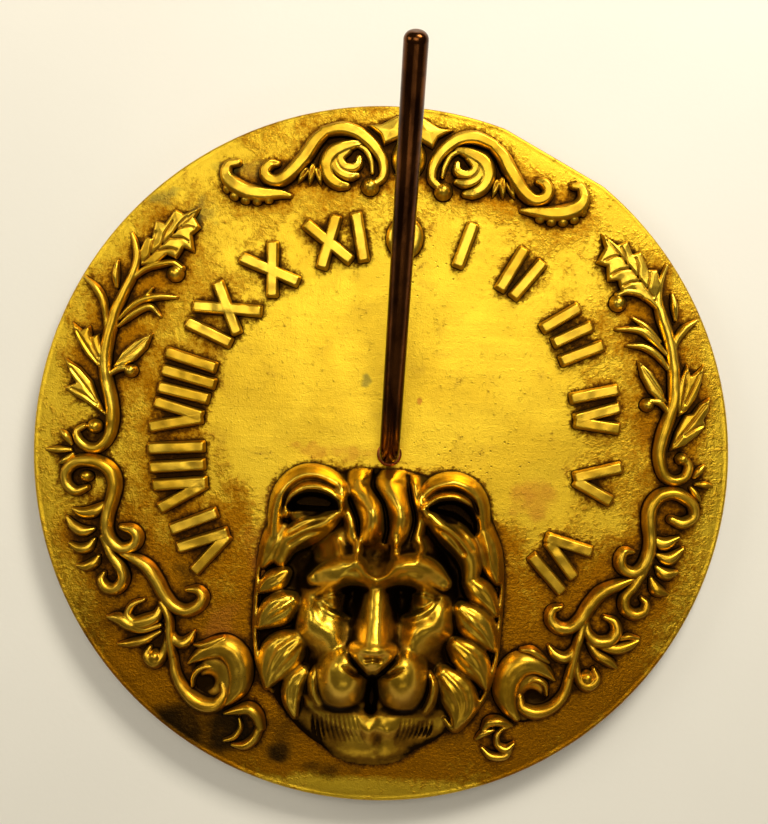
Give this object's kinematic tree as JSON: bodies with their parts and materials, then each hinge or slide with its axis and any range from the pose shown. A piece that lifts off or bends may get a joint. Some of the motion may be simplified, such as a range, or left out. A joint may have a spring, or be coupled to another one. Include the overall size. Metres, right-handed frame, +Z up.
{
  "type": "garden sundial",
  "caption": "Round cast-brass horizontal sundial with Roman hour numerals, scroll and leaf relief, a lion's-head mask and a sloping rod gnomon.",
  "frame": {"origin": "middle of the round plate on the surface that its skirt rests on; the gnomon and the relief stand inside the plate's outline in plan, so this is also the bottom centre of the whole object's box", "axes": "+Z up, out of the dial face; +Y along the meridian from the gnomon's foot to the noon mark; +X to the afternoon hours"},
  "size_m": [0.254, 0.254, 0.1143],
  "materials": {
    "plate_brass": "sand-cast dial face, hand-polished, with a brown patina in its hollows and round the relief",
    "relief_brass": "cast relief with polished ridges and dark brown recesses",
    "numeral_brass": "cast numerals with polished tops and dark flanks",
    "lion_brass": "cast high relief, polished on its high points and nearly black in its hollows",
    "rod_brass": "drawn rod, glossy, tarnished to brown",
    "red_brass": "copper-red collar at the gnomon's foot, glossy",
    "fixing_brass": "plain turned fixings, dull"
  },
  "bodies": {
    "root": {"bud_rays_left": "relief_brass", "bud_rays_right": "relief_brass", "corner_volute_left": "relief_brass", "corner_volute_right": "relief_brass", "crest_cabochon": "relief_brass", "crest_palmette": "relief_brass", "dial_plate": "plate_brass", "gnomon_collar": "red_brass", "gnomon_nut": "fixing_brass", "gnomon_rod": "rod_brass", "gnomon_spring_washer": "fixing_brass", "gnomon_washer": "fixing_brass", "leaf_spray_left": "relief_brass", "leaf_spray_right": "relief_brass", "lion_face": "lion_brass", "lion_mane": "lion_brass", "noon_boss": "relief_brass", "numeral_i_afternoon": "numeral_brass", "numeral_ii_afternoon": "numeral_brass", "numeral_iii_afternoon": "numeral_brass", "numeral_iv_afternoon": "numeral_brass", "numeral_ix_morning": "numeral_brass", "numeral_v_afternoon": "numeral_brass", "numeral_vi_afternoon": "numeral_brass", "numeral_vi_morning": "numeral_brass", "numeral_vii_morning": "numeral_brass", "numeral_viii_morning": "numeral_brass", "numeral_x_morning": "numeral_brass", "numeral_xi_morning": "numeral_brass", "side_scroll_left": "relief_brass", "side_scroll_right": "relief_brass", "top_scroll_left": "relief_brass", "top_scroll_right": "relief_brass"}
  },
  "joints": []
}
